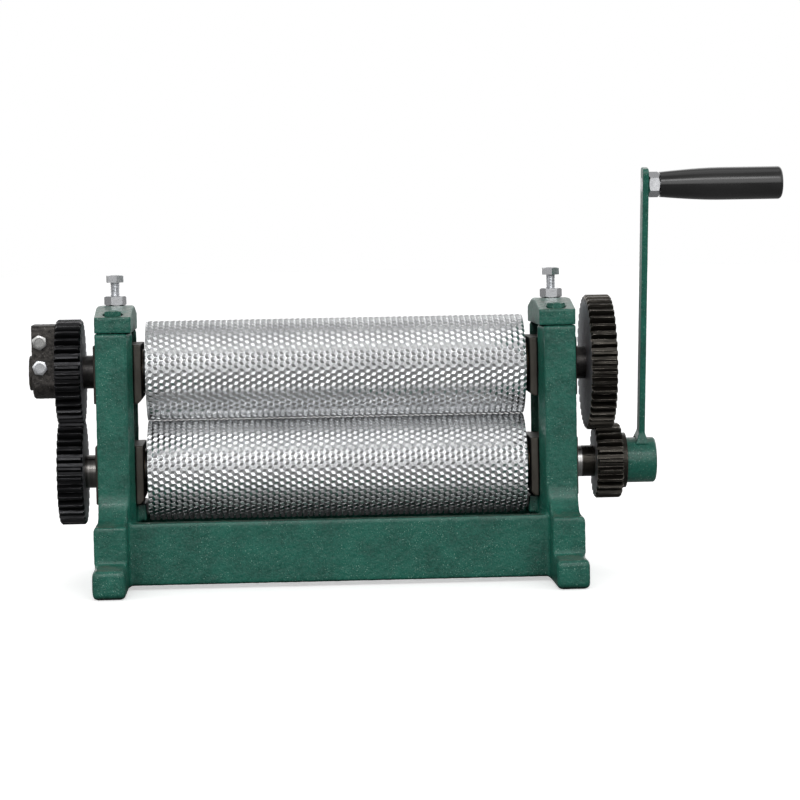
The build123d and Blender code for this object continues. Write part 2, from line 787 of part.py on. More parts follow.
with BuildPart() as grip:
    with BuildSketch(Plane(origin=(grip_inner_x, handle_y, handle_z), x_dir=(1, 0, 0),
                           z_dir=(0, -1, 0))):
        with BuildLine():
            neck_start = (0, grip_neck_d / 2)
            swell = Spline(
                neck_start, (grip_swell, grip_d / 2), tangents=[(1, 0.09), (1, 0)],
            )
            barrel = Line(swell @ 1, (grip_length - grip_end_r, grip_d / 2))
            end_round = RadiusArc(
                barrel @ 1, (grip_length, grip_d / 2 - grip_end_r), grip_end_r,
            )
            Polyline(
                end_round @ 1, (grip_length, grip_recess_d / 2),
                (grip_length - grip_recess, grip_recess_d / 2),
                (grip_length - grip_recess, spindle_d / 2 + running_clearance),
                (0, spindle_d / 2 + running_clearance), neck_start,
            )
        make_face()
    revolve(axis=Axis((grip_inner_x, handle_y, handle_z), (1, 0, 0)))
save(grip, "grip")
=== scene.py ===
import json
import math

import bmesh
import bpy
from mathutils import Matrix, Vector, noise


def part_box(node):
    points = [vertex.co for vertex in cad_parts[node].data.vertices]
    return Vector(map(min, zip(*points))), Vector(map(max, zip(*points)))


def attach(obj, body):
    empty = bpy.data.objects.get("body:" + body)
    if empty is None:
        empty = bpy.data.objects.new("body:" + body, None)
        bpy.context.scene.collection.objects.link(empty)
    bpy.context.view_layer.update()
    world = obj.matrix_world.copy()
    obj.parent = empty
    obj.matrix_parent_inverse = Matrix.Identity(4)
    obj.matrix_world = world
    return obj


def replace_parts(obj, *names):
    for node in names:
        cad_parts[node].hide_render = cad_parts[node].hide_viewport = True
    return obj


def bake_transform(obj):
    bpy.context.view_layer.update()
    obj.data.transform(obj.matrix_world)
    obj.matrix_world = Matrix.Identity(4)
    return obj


# Beeswax foundation mill, dressed for rendering.  Metres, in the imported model's frame:
# +X runs along the rolls to the crank, +Y to the back, +Z up from the bench.

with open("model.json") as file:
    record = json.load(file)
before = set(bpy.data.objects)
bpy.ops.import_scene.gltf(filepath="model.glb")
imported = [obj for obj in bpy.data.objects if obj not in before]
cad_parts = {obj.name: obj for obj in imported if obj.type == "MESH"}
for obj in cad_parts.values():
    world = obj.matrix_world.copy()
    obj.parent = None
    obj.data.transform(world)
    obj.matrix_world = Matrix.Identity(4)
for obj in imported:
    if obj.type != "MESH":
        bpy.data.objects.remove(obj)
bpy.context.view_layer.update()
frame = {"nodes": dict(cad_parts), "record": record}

MM = 0.001
NODES = frame["nodes"]
RECORD = frame["record"]
BODY_OF = {
    node: body
    for body, members in RECORD["behaviour"]["bodies"].items()
    for node in members
}
SIDES = ("left", "right")


def middle(node):
    """The middle of a CAD node's box."""
    low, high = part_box(node)
    return (low + high) / 2


LOWER_AXIS_Z = middle("lower_roll_shell").z
UPPER_AXIS_Z = middle("upper_roll_shell").z


# ------------------------------------------------------------------ material nodes
class Finish:
    """A material built round one Principled shader."""

    def __init__(self, name, colour, **values):
        self.material = bpy.data.materials.new(name)
        self.material.use_nodes = True
        self.tree = self.material.node_tree
        self.shader = self.tree.nodes["Principled BSDF"]
        self.shader.inputs["Base Color"].default_value = (*colour, 1.0)
        for socket, value in values.items():
            self.shader.inputs[socket.replace("_", " ")].default_value = value
        self.place = self.node("TexCoord").outputs["Object"]

    def node(self, kind, inputs=(), **settings):
        """Adds a node; inputs pairs sockets with values or with other outputs."""
        node = self.tree.nodes.new("ShaderNode" + kind)
        for key, value in settings.items():
            setattr(node, key, value)
        for socket, value in dict(inputs).items():
            self.feed(node.inputs[socket], value)
        return node

    def feed(self, socket, value):
        if isinstance(value, bpy.types.NodeSocket):
            self.tree.links.new(value, socket)
        else:
            socket.default_value = value

    def noise(self, scale, detail=2.0, stretch=(1, 1, 1), roughness=0.55):
        """Noise from 0 to 1, scale features to the metre."""
        spread = self.node("Mapping", {"Vector": self.place, "Scale": stretch})
        return self.node("TexNoise", {
            "Vector": spread.outputs[0], "Scale": scale, "Detail": detail,
            "Roughness": roughness,
        }).outputs["Fac"]

    def span(self, value, low, high, out_low=0.0, out_high=1.0):
        """Maps low..high to out_low..out_high, clamped."""
        return self.node("MapRange", {
            "Value": value, "From Min": low, "From Max": high,
            "To Min": out_low, "To Max": out_high,
        }).outputs["Result"]

    def product(self, a, b):
        return self.node("Math", {0: a, 1: b}, operation="MULTIPLY").outputs[0]

    def mix(self, share, a, b):
        """Colour a where share is 0, b where it is 1."""
        node = self.node("Mix", data_type="RGBA")
        self.feed(node.inputs[0], share)
        for socket, colour in ((node.inputs[6], a), (node.inputs[7], b)):
            known = isinstance(colour, bpy.types.NodeSocket)
            self.feed(socket, colour if known else (*colour, 1.0))
        return node.outputs[2]

    def facing(self, axis):
        """How far the surface faces along an axis, from -1 to 1."""
        parts = self.node("SeparateXYZ", {0: self.node("NewGeometry").outputs["Normal"]})
        return parts.outputs[axis]

    def edges(self, radius, sharp=0.25):
        """1 along edges within a radius, 0 on open faces."""
        soft = self.node("Bevel", {"Radius": radius}, samples=6).outputs[0]
        true = self.node("NewGeometry").outputs["Normal"]
        likeness = self.node("VectorMath", {0: soft, 1: true}, operation="DOT_PRODUCT")
        return self.span(likeness.outputs["Value"], 0.995, 1.0 - sharp)

    def colour(self, value):
        self.feed(self.shader.inputs["Base Color"], value)

    def set(self, socket, value):
        self.feed(self.shader.inputs[socket], value)

    def bump(self, height, distance, strength=1.0, under=None):
        inputs = {"Height": height, "Distance": distance, "Strength": strength}
        if under is not None:
            inputs["Normal"] = under
        bumped = self.node("Bump", inputs).outputs[0]
        self.feed(self.shader.inputs["Normal"], bumped)
        return bumped

    def crevices(self, reach):
        """1 deep in corners and narrow gaps, 0 in the open."""
        open_share = self.node("AmbientOcclusion", {"Distance": reach}, samples=8)
        return self.span(open_share.outputs["AO"], 0.55, 0.12)

    def soft_edges(self, radius):
        return self.node("Bevel", {"Radius": radius}, samples=6).outputs[0]


def green_paint():
    """Glossy green enamel over rough castings, speckled with painted glints where the grain would
    catch light, and darkened with painted shade in its corners and gaps.
    """
    paint = Finish("green_enamel", (0.010, 0.11, 0.08), Roughness=0.3, Coat_Weight=0.35,
                   Coat_Roughness=0.14)
    blotch = paint.span(paint.noise(45, 3), 0.35, 0.65)
    tone = paint.mix(blotch, (0.004, 0.080, 0.055), (0.007, 0.125, 0.086))
    grain = paint.noise(480, 4, roughness=0.62)
    tone = paint.mix(paint.span(grain, 0.45, 0.72, 0.0, 0.5), tone, (0.025, 0.19, 0.14))
    # painted glints: pale green-grey specks where bumps in the gloss would catch the light,
    # gathered in patches
    glint_cluster = paint.span(paint.noise(55, 2), 0.40, 0.62, 0.25, 1.0)
    painted_glint = paint.span(paint.noise(1100, 1), 0.66, 0.74)
    tone = paint.mix(paint.product(painted_glint, glint_cluster), tone, (0.30, 0.52, 0.43))
    chip = paint.product(paint.edges(1.2 * MM), paint.span(paint.noise(420, 3), 0.52, 0.6))
    tone = paint.mix(paint.product(chip, 0.6), tone, (0.42, 0.62, 0.54))
    dust = paint.product(
        paint.span(paint.facing(2), 0.80, 0.99, 0.0, 0.5),
        paint.span(paint.noise(110, 4), 0.35, 0.6),
    )
    tone = paint.mix(dust, tone, (0.15, 0.135, 0.11))
    # painted shade: ambient occlusion mixes near-black into corners and narrow gaps, and dulls
    # the coat and specular there
    painted_crevice_shade = paint.crevices(28 * MM)
    paint.colour(paint.mix(painted_crevice_shade, tone, (0.008, 0.010, 0.009)))
    paint.set("Roughness", paint.span(grain, 0.3, 0.7, 0.26, 0.46))
    paint.set("Coat Weight", paint.span(painted_crevice_shade, 0, 1, 0.35, 0.05))
    paint.set("Specular IOR Level", paint.span(painted_crevice_shade, 0, 1, 0.38, 0.1))
    rough = paint.bump(paint.noise(170, 3), 0.0014, 0.35)
    paint.bump(grain, 0.0007, 0.6, under=rough)
    return paint.material


def aluminium(name, light, dark, smooth, rough, rounding):
    """Cut aluminium with its edges rounded off and a few stains."""
    metal = Finish(name, light, Metallic=1.0, Roughness=smooth)
    stain = metal.span(metal.noise(30, 4), 0.4, 0.7)
    metal.colour(metal.mix(stain, light, dark))
    metal.set("Roughness", metal.span(metal.noise(60, 2), 0.3, 0.7, smooth, rough))
    metal.bump(metal.noise(260, 2), 0.0001, 0.25, under=metal.soft_edges(rounding))
    return metal.material


def gear_steel(name, axis_z, oil, worn, wear):
    """Oil-blackened teeth, worn along their tips; the end faces are turned and paler."""
    metal = Finish(name, oil, Metallic=0.8, Roughness=0.3)
    side = metal.span(metal.product(metal.facing(0), metal.facing(0)), 0.75, 0.95)
    smear = metal.span(metal.noise(160, 4, (0.25, 1, 1)), 0.35, 0.65)
    teeth = metal.mix(smear, oil, tuple(2.2 * value for value in oil))
    patch = metal.span(metal.noise(260, 3, (0.35, 1, 1)), 0.40, 0.58)
    edge = metal.product(metal.edges(0.9 * MM), patch)
    teeth = metal.mix(metal.product(edge, wear), teeth, worn)
    centred = metal.node("Mapping", {"Vector": metal.place, "Location": (0, 0, -axis_z)})
    rings = metal.node(
        "TexWave", {"Vector": centred.outputs[0], "Scale": 260.0, "Distortion": 0.6,
                    "Detail": 2.0, "Detail Scale": 1.5},
        wave_type="RINGS", rings_direction="X",
    ).outputs["Fac"]
    turned = metal.mix(rings, (0.34, 0.34, 0.375), (0.46, 0.46, 0.50))
    turned = metal.mix(metal.span(metal.noise(90, 4), 0.5, 0.75, 0.0, 0.5), turned,
                       (0.20, 0.195, 0.20))
    metal.colour(metal.mix(side, teeth, turned))
    metal.set("Roughness", metal.span(side, 0, 1, 0.26, 0.46))
    grain = metal.noise(500, 3, (0.3, 1, 1))
    metal.bump(grain, 0.0004, 0.6, under=metal.soft_edges(0.35 * MM))
    return metal.material


def rough_iron():
    """Sand-cast iron left unpainted: near black, rubbed bright on its high spots."""
    iron = Finish("sand_cast_iron", (0.05, 0.045, 0.042), Metallic=0.55, Roughness=0.5)
    pits = iron.noise(260, 4, roughness=0.65)
    tone = iron.mix(iron.span(pits, 0.35, 0.65), (0.018, 0.016, 0.015), (0.085, 0.077, 0.07))
    rubbed = iron.product(iron.edges(1.6 * MM, 0.3), iron.span(iron.noise(300, 3), 0.4, 0.6))
    chips = iron.span(iron.noise(900, 2), 0.62, 0.7, 0.0, 0.55)
    tone = iron.mix(chips, tone, (0.26, 0.25, 0.24))
    iron.colour(iron.mix(iron.product(rubbed, 0.6), tone, (0.30, 0.28, 0.26)))
    iron.set("Roughness", iron.span(pits, 0.3, 0.7, 0.34, 0.6))
    iron.bump(pits, 0.0008, 0.55)
    return iron.material


def block_iron():
    """Planed cast iron with a brown skin."""
    iron = Finish("planed_iron", (0.07, 0.062, 0.05), Metallic=0.45, Roughness=0.5)
    streak = iron.noise(120, 4, (1, 1, 0.3))
    tone = iron.mix(iron.span(streak, 0.35, 0.65), (0.045, 0.039, 0.031), (0.078, 0.07, 0.058))
    tone = iron.mix(iron.product(iron.edges(0.8 * MM), 0.5), tone, (0.16, 0.15, 0.135))
    # painted shade: ambient occlusion mixes near-black into corners and narrow gaps, such as the
    # faces beside the roll ends, and roughens them
    painted_crevice_shade = iron.crevices(14 * MM)
    iron.colour(iron.mix(painted_crevice_shade, tone, (0.006, 0.006, 0.006)))
    iron.set("Roughness", iron.span(painted_crevice_shade, 0, 1, 0.5, 0.85))
    iron.bump(iron.noise(500, 3), 0.0003, 0.5)
    return iron.material


def ground_steel(name, light, dark):
    """Ground shafting with fine rings round X."""
    metal = Finish(name, light, Metallic=1.0, Roughness=0.24)
    rings = metal.noise(500, 2, (1, 0.02, 0.02))
    metal.colour(metal.mix(metal.span(rings, 0.35, 0.65), dark, light))
    metal.bump(rings, 0.00012, 0.4)
    return metal.material


def black_steel():
    """Blackened collars, oily and near smooth."""
    metal = Finish("black_steel", (0.03, 0.029, 0.028), Metallic=0.8, Roughness=0.32)
    smear = metal.span(metal.noise(140, 4), 0.35, 0.65)
    metal.colour(metal.mix(smear, (0.018, 0.017, 0.017), (0.06, 0.056, 0.053)))
    metal.bump(metal.noise(600, 2), 0.0002, 0.4)
    return metal.material


def zinc(name, light, dark):
    """Zinc-plated fasteners, faintly mottled."""
    metal = Finish(name, light, Metallic=1.0, Roughness=0.3)
    mottle = metal.span(metal.noise(380, 4), 0.38, 0.64)
    metal.colour(metal.mix(mottle, light, dark))
    metal.set("Roughness", metal.span(mottle, 0, 1, 0.16, 0.3))
    metal.bump(metal.noise(500, 2), 0.0001, 0.25)
    return metal.material


def bronze():
    """Bearing bronze, dulled by oil."""
    metal = Finish("bush_bronze", (0.42, 0.27, 0.12), Metallic=1.0, Roughness=0.35)
    metal.colour(metal.mix(metal.span(metal.noise(200, 3), 0.35, 0.65),
                           (0.30, 0.19, 0.09), (0.45, 0.30, 0.14)))
    metal.bump(metal.noise(600, 2), 0.0002, 0.4)
    return metal.material


def bakelite():
    """Polished black bakelite with faint handling haze."""
    plastic = Finish("black_bakelite_polished", (0.008, 0.008, 0.008), Roughness=0.16,
                     Coat_Weight=0.6, Coat_Roughness=0.06)
    haze = plastic.span(plastic.noise(70, 4, (0.3, 1, 1)), 0.35, 0.7)
    plastic.colour(plastic.mix(haze, (0.005, 0.005, 0.005), (0.013, 0.013, 0.013)))
    plastic.set("Roughness", plastic.span(haze, 0, 1, 0.13, 0.26))
    plastic.bump(plastic.noise(500, 2), 0.00008, 0.3)
    return plastic.material


OIL_BLACK = (0.012, 0.012, 0.013)
OIL_BROWN = (0.019, 0.017, 0.014)
PALE_WEAR = (0.30, 0.30, 0.31)
BROWN_WEAR = (0.48, 0.44, 0.39)
PAINT = green_paint()
CELL = aluminium("cell_aluminium", (0.82, 0.83, 0.84), (0.71, 0.72, 0.73), 0.2, 0.26,
                 0.3 * MM)
# painted highlight: a brighter copy of the cell aluminium for the groove floors and roll ends,
# standing in for light caught along the grooves
GROOVE_HIGHLIGHT = aluminium("groove_aluminium_painted_highlight", (0.92, 0.92, 0.92), (0.86, 0.86, 0.87), 0.24, 0.3,
                   0.1 * MM)
# painted shade: a dark copy of the cell aluminium for the cell walls, standing in for shade down
# in the grooves
WALL_SHADE = aluminium("cell_wall_aluminium_painted_shade", (0.32, 0.33, 0.34), (0.26, 0.27, 0.28), 0.35, 0.4,
                 0.1 * MM)
IRON = rough_iron()
BLOCK = block_iron()
STEEL = ground_steel("ground_steel", (0.56, 0.55, 0.54), (0.34, 0.33, 0.32))
DARK_STEEL = ground_steel("oiled_steel", (0.22, 0.21, 0.20), (0.09, 0.085, 0.08))
BLACK = black_steel()
ZINC = zinc("bright_zinc", (0.80, 0.81, 0.83), (0.62, 0.63, 0.65))
DULL_ZINC = zinc("dull_zinc", (0.58, 0.58, 0.57), (0.42, 0.42, 0.41))
SPRING = zinc("spring_wire", (0.20, 0.20, 0.20), (0.12, 0.12, 0.12))
BRONZE = bronze()
BAKELITE = bakelite()
GEAR_FINISH = {
    "phasing_gear": gear_steel("phasing_gear_steel", UPPER_AXIS_Z, OIL_BLACK,
                               PALE_WEAR, 0.45),
    "timing_gear": gear_steel("timing_gear_steel", LOWER_AXIS_Z, OIL_BLACK,
                              PALE_WEAR, 0.45),
    "drive_gear": gear_steel("drive_gear_steel", UPPER_AXIS_Z, OIL_BROWN, BROWN_WEAR, 1.0),
    "pinion": gear_steel("pinion_steel", LOWER_AXIS_Z, OIL_BROWN, BROWN_WEAR, 1.0),
}


# --------------------------------------------------------------------- piece tools
def new_piece(name, mesh, node, *materials, smooth_angle=32):
    """Puts a finished mesh in the scene in place of a CAD node, on that node's body."""
    piece = bpy.data.objects.new(name, mesh)
    bpy.context.scene.collection.objects.link(piece)
    mesh.materials.clear()
    for material in materials:
        mesh.materials.append(material)
    mesh.polygons.foreach_set("use_smooth", [True] * len(mesh.polygons))
    mesh.set_sharp_from_angle(angle=math.radians(smooth_angle))
    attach(piece, BODY_OF[node])
    return piece


def mesh_of(name, points, faces, marks=None):
    """A mesh from points and faces, its outsides turned out; marks are material numbers."""
    mesh = bpy.data.meshes.new(name)
    mesh.from_pydata(points, [], faces)
    if marks:
        mesh.polygons.foreach_set("material_index", marks)
    shell = bmesh.new()
    shell.from_mesh(mesh)
    bmesh.ops.recalc_face_normals(shell, faces=shell.faces)
    shell.to_mesh(mesh)
    shell.free()
    return mesh


def welded(node):
    """A copy of a CAD node's mesh with its seams joined."""
    mesh = NODES[node].data.copy()
    joined = bmesh.new()
    joined.from_mesh(mesh)
    bmesh.ops.remove_doubles(joined, verts=joined.verts, dist=0.01 * MM)
    joined.to_mesh(mesh)
    joined.free()
    stored_normals = mesh.attributes.get("custom_normal")
    if stored_normals:
        mesh.attributes.remove(stored_normals)
    return mesh


def evaluated(mesh, *modifiers):
    """The mesh after modifiers, each a kind and its settings."""
    holder = bpy.data.objects.new("holder", mesh)
    bpy.context.scene.collection.objects.link(holder)
    for kind, settings in modifiers:
        modifier = holder.modifiers.new(kind, kind)
        for key, value in settings.items():
            setattr(modifier, key, value)
    graph = bpy.context.evaluated_depsgraph_get()
    done = bpy.data.meshes.new_from_object(holder.evaluated_get(graph))
    bpy.data.objects.remove(holder)
    return done


def cast(node, name, material, voxel, rounds, depth, grain):
    """A CAD node with the softened edges and uneven skin of a casting.

    The skin sinks by a varying share of depth; grain is its waves to the metre.
    """
    mesh = evaluated(
        welded(node),
        ("REMESH", {"mode": "VOXEL", "voxel_size": voxel}),
        ("SMOOTH", {"factor": 0.5, "iterations": rounds}),
    )
    normals = [vertex.normal.copy() for vertex in mesh.vertices]
    for vertex, normal in zip(mesh.vertices, normals):
        wave = noise.noise(vertex.co * grain) + 0.6 * noise.noise(vertex.co * grain * 2.7)
        vertex.co -= normal * depth * (0.5 + 0.5 * wave)
    piece = new_piece(name, mesh, node, material, smooth_angle=180)
    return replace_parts(piece, node)


def carried(node, name, *materials):
    """A CAD node's own shape with smooth shading across its curves."""
    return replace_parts(new_piece(name, welded(node), node, *materials), node)


def turned_frame(axis, turn):
    """Rotation that takes local Z to an axis, after a turn about it in degrees."""
    towards = Vector(axis).to_track_quat("Z", "Y").to_matrix().to_4x4()
    return towards @ Matrix.Rotation(math.radians(turn), 4, "Z")


def hexagon(seat, axis, flats, height, turn, bore=0.0, both_ends=False, dish=0.0):
    """Points and faces of a hexagon head or nut with its corners chamfered at 30 degrees."""
    steps = 72
    flat = flats / 2
    crown = 0.95 * flat
    slope = math.tan(math.radians(30))
    place = Matrix.Translation(Vector(seat)) @ turned_frame(axis, turn)
    outward = []
    for k in range(steps):
        angle = 2 * math.pi * k / steps
        outward.append(Vector((math.cos(angle), math.sin(angle), 0)))

    def circle(radius, level):
        return [direction * radius + Vector((0, 0, level)) for direction in outward]

    foot, shoulder = [], []
    for k, direction in enumerate(outward):
        angle = 2 * math.pi * k / steps
        across = flat / math.cos((angle + math.pi / 6) % (math.pi / 3) - math.pi / 6)
        drop = slope * max(0.0, across - crown)
        foot.append(direction * across + Vector((0, 0, drop if both_ends else 0.0)))
        shoulder.append(direction * across + Vector((0, 0, height - drop)))
    rings = [circle(0.98 * crown, 0.0), foot, shoulder, circle(crown, height)]
    if dish:
        rim, well = 0.72, 0.9
        rings.append(circle(rim * crown, height))
        rings.append(circle(well * rim * crown, height - dish))
    if bore:
        lip = 0.35 * MM
        rings.append(circle(bore + lip, height))
        rings.append(circle(bore, height - lip))
        rings.append(circle(bore, lip))
        rings.append(circle(bore + lip, 0.0))
    points = [place @ point for ring in rings for point in ring]
    count = len(rings)
    spans = list(zip(range(count), range(1, count)))
    if bore:
        spans.append((count - 1, 0))
    faces = []
    for lower, upper in spans:
        for k in range(steps):
            n = (k + 1) % steps
            faces.append((lower * steps + k, lower * steps + n,
                          upper * steps + n, upper * steps + k))
    if not bore:
        faces.append(tuple(range(steps)))
        faces.append(tuple((count - 1) * steps + k for k in reversed(range(steps))))
    return points, faces


def merged(*shapes):
    """Several point and face lists as one."""
    points, faces = [], []
    for more_points, more_faces in shapes:
        offset = len(points)
        points += more_points
        faces += [tuple(index + offset for index in face) for face in more_faces]
    return points, faces


def lathe(start, axis, profile, steps=64):
    """A turned solid: profile pairs a distance along the axis with a radius."""
    place = Matrix.Translation(Vector(start)) @ turned_frame(axis, 0)
    points, faces = [], []
    for along, radius in profile:
        for k in range(steps):
            angle = 2 * math.pi * k / steps
            points.append(place @ Vector((radius * math.cos(angle), radius * math.sin(angle),
                                          along)))
    for ring in range(len(profile) - 1):
        for k in range(steps):
            n = (k + 1) % steps
            faces.append((ring * steps + k, ring * steps + n, (ring + 1) * steps + n,
                          (ring + 1) * steps + k))
    faces.append(tuple(reversed(range(steps))))
    faces.append(tuple((len(profile) - 1) * steps + k for k in range(steps)))
    return points, faces


def thread(start, axis, length, diameter, pitch):
    """A threaded length, its single helical ridge flattened at crest and root."""
    around, per_pitch = 36, 8
    depth = 0.61 * pitch
    rows = int(length / pitch * per_pitch)
    place = Matrix.Translation(Vector(start)) @ turned_frame(axis, 0)
    points = []
    for row in range(rows + 1):
        along = length * row / rows
        for k in range(around):
            angle = 2 * math.pi * k / around
            phase = (along / pitch - k / around) % 1.0
            height = min(1.0, max(0.0, 1.3 * (1 - abs(2 * phase - 1)) - 0.1))
            radius = diameter / 2 - depth * (1 - height)
            points.append(place @ Vector((radius * math.cos(angle), radius * math.sin(angle),
                                          along)))
    faces = [
        (row * around + k, row * around + (k + 1) % around,
         (row + 1) * around + (k + 1) % around, (row + 1) * around + k)
        for row in range(rows) for k in range(around)
    ]
    faces.append(tuple(reversed(range(around))))
    faces.append(tuple(rows * around + k for k in range(around)))
    return points, faces


# -------------------------------------------------------------------- the castings
def castings():
    """The painted frame, caps and crank, the bearing blocks and the phase hub."""
    cast("frame_casting", "cast_frame", PAINT, 1.6 * MM, 1, 0.35 * MM, 210)
    for side in SIDES:
        cast(f"bearing_cap_{side}", f"cap_{side}", PAINT, 0.8 * MM, 2, 0.25 * MM, 260)
        for level in ("upper", "lower"):
            cast(f"{level}_bearing_block_{side}", f"{level}_block_{side}", BLOCK,
                 0.8 * MM, 2, 0.08 * MM, 300)
    cast("phase_hub", "phase_hub_casting", IRON, 0.6 * MM, 4, 0.35 * MM, 330)
    cast("crank_hub", "crank_hub_casting", PAINT, 0.6 * MM, 3, 0.15 * MM, 300)
    cast("crank_arm", "crank_arm_bar", PAINT, 0.6 * MM, 3, 0.12 * MM, 280)


# ------------------------------------------------------------------------ the rolls
CELLS_AROUND = 48
CELL_COLUMN = 4.677 * MM     # from one column of cells to the next
CELL_APEX = -0.38 * MM       # depths below the plain roll, so the apex is above it
CELL_RIDGE = 0.15 * MM
CELL_DIP = 1.0 * MM
GROOVE_FLOOR = 1.1 * MM
CELL_FOOT_SHARE = 0.93       # of the way from a cell's middle to its corners
CELL_RIM_SHARE = 0.89
HEXAGON = [(2, 0), (1, 1), (-1, 1), (-2, 0), (-1, -1), (1, -1)]
ROLL_END_DISH = 2.0 * MM
FACET_MARK, GROOVE_HIGHLIGHT_MARK, WALL_SHADE_MARK = range(3)    # the order of the roll's materials
FACET_ANGLE = 8              # degrees past which an edge between faces stays sharp


def embossed_roll(node, name, turn, shift):
    """A roll shell covered in raised hexagonal cells, each a low three-faced pyramid.

    Stations count half sides along X and angles count half cells round the roll.
    Turn picks the corners that dip, and shift moves the pattern along the roll.
    """
    low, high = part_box(node)
    columns = int((high.x - low.x) / CELL_COLUMN) + 3
    radius = (high.z - low.z) / 2
    axis_z = (high.z + low.z) / 2
    half_side, half_turn = CELL_COLUMN / 3, math.pi / CELLS_AROUND
    pattern_length = CELL_COLUMN * (columns - 1)
    start_x = (low.x + high.x - pattern_length) / 2 + shift * half_side
    floor = radius - GROOVE_FLOOR
    points, faces, marks = [], [], []

    def point(station, angle, distance):
        bend = angle * half_turn
        points.append(Vector((start_x + station * half_side, -distance * math.cos(bend),
                              axis_z + distance * math.sin(bend))))
        return len(points) - 1

    shared = {}

    def corner(station, angle):
        key = (station, angle % (2 * CELLS_AROUND))
        if key not in shared:
            shared[key] = point(station, angle, floor)
        return shared[key]

    dips = (0, 2, 4) if turn > 0 else (1, 3, 5)
    for column in range(columns):
        for row in range(CELLS_AROUND):
            station, angle = 3 * column, 2 * row + column % 2
            outer = [corner(station + dx, angle + da) for dx, da in HEXAGON]
            base = [
                point(station + CELL_FOOT_SHARE * dx, angle + CELL_FOOT_SHARE * da, floor)
                for dx, da in HEXAGON
            ]
            rim = [
                point(station + CELL_RIM_SHARE * dx, angle + CELL_RIM_SHARE * da,
                      radius - (CELL_DIP if k in dips else CELL_RIDGE))
                for k, (dx, da) in enumerate(HEXAGON)
            ]
            top = point(station, angle, radius - CELL_APEX)
            for k in range(6):
                n = (k + 1) % 6
                faces.append((outer[k], outer[n], base[n], base[k]))
                faces.append((base[k], base[n], rim[n], rim[k]))
                marks += [GROOVE_HIGHLIGHT_MARK, WALL_SHADE_MARK]
            for k in dips:
                faces.append((top, rim[(k - 1) % 6], rim[k], rim[(k + 1) % 6]))
                marks.append(FACET_MARK)
    mesh = mesh_of(name, points, faces, marks)

    # cut square at both ends and closed with a shallow cone round the shaft
    same_place = 1e-6
    shell = bmesh.new()
    shell.from_mesh(mesh)
    for end, outward in ((low.x, -1), (high.x, 1)):
        bmesh.ops.bisect_plane(
            shell, geom=shell.verts[:] + shell.edges[:] + shell.faces[:], dist=same_place / 10,
            plane_co=(end, 0, 0), plane_no=(outward, 0, 0), clear_outer=True,
        )
        rim_edges = [edge for edge in shell.edges if edge.is_boundary
                     and all(abs(vertex.co.x - end) < same_place for vertex in edge.verts)]
        centre = shell.verts.new((end - outward * ROLL_END_DISH, 0, axis_z))
        for edge in rim_edges:
            shell.faces.new((*edge.verts, centre)).material_index = GROOVE_HIGHLIGHT_MARK
    bmesh.ops.recalc_face_normals(shell, faces=shell.faces)
    shell.to_mesh(mesh)
    shell.free()
    # the groove floors carry painted highlight and the cell walls carry painted shade
    piece = new_piece(name, mesh, node, CELL, GROOVE_HIGHLIGHT, WALL_SHADE, smooth_angle=FACET_ANGLE)
    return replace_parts(piece, node)


def rolls():
    """Both embossed rolls on their ground shafts."""
    embossed_roll("upper_roll_shell", "upper_embossed_roll", 1, 2)
    embossed_roll("lower_roll_shell", "lower_embossed_roll", -1, 0)
    for node in ("upper_roll_shaft", "lower_roll_shaft"):
        carried(node, node.replace("roll_", "") + "_ground", STEEL)


# -------------------------------------------------------------- screws, nuts, bolts
def screws():
    """The adjusting screws with their lock nuts, and the cap bolts."""
    head, flats, shank = 6.0 * MM, 13.0 * MM, 8.0 * MM
    nut_flats, pitch = 16.0 * MM, 1.25 * MM
    for side, turn in (("left", 14.0), ("right", 4.0)):
        low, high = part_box(f"adjusting_screw_{side}")
        x = (low.x + high.x) / 2
        seat = (x, 0, high.z - head)
        shapes = merged(
            hexagon(seat, (0, 0, 1), flats, head, turn, dish=0.5 * MM),
            thread((x, 0, low.z), (0, 0, 1), high.z - head - low.z, shank, pitch),
        )
        name = f"screw_{side}"
        piece = new_piece(name, mesh_of(name, *shapes), f"adjusting_screw_{side}", ZINC)
        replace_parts(piece, f"adjusting_screw_{side}")
        low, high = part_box(f"lock_nut_{side}")
        nut_turn = {"left": 41.0, "right": 28.0}[side]
        shape = hexagon((x, 0, low.z), (0, 0, 1), nut_flats, high.z - low.z, nut_turn,
                        bore=shank / 2, both_ends=True)
        name = f"locking_nut_{side}"
        piece = new_piece(name, mesh_of(name, *shape), f"lock_nut_{side}", ZINC)
        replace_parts(piece, f"lock_nut_{side}")

    low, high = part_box("cap_bolts")
    bolt_flats, bolt_head, bolt_shank = 13.0 * MM, 5.3 * MM, 8.0 * MM
    x = middle("adjusting_screw_right").x
    y = high.y - bolt_flats / 2
    shapes = []
    for k, (sign_x, sign_y) in enumerate(((-1, -1), (-1, 1), (1, -1), (1, 1))):
        seat = (sign_x * x, sign_y * y, high.z - bolt_head)
        shapes.append(hexagon(seat, (0, 0, 1), bolt_flats, bolt_head, 17.0 * k, dish=0.3 * MM))
        shapes.append(thread((seat[0], seat[1], low.z), (0, 0, 1), seat[2] - low.z, bolt_shank,
                             pitch))
    piece = new_piece("painted_bolts", mesh_of("painted_bolts", *merged(*shapes)), "cap_bolts",
                      PAINT)
    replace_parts(piece, "cap_bolts")


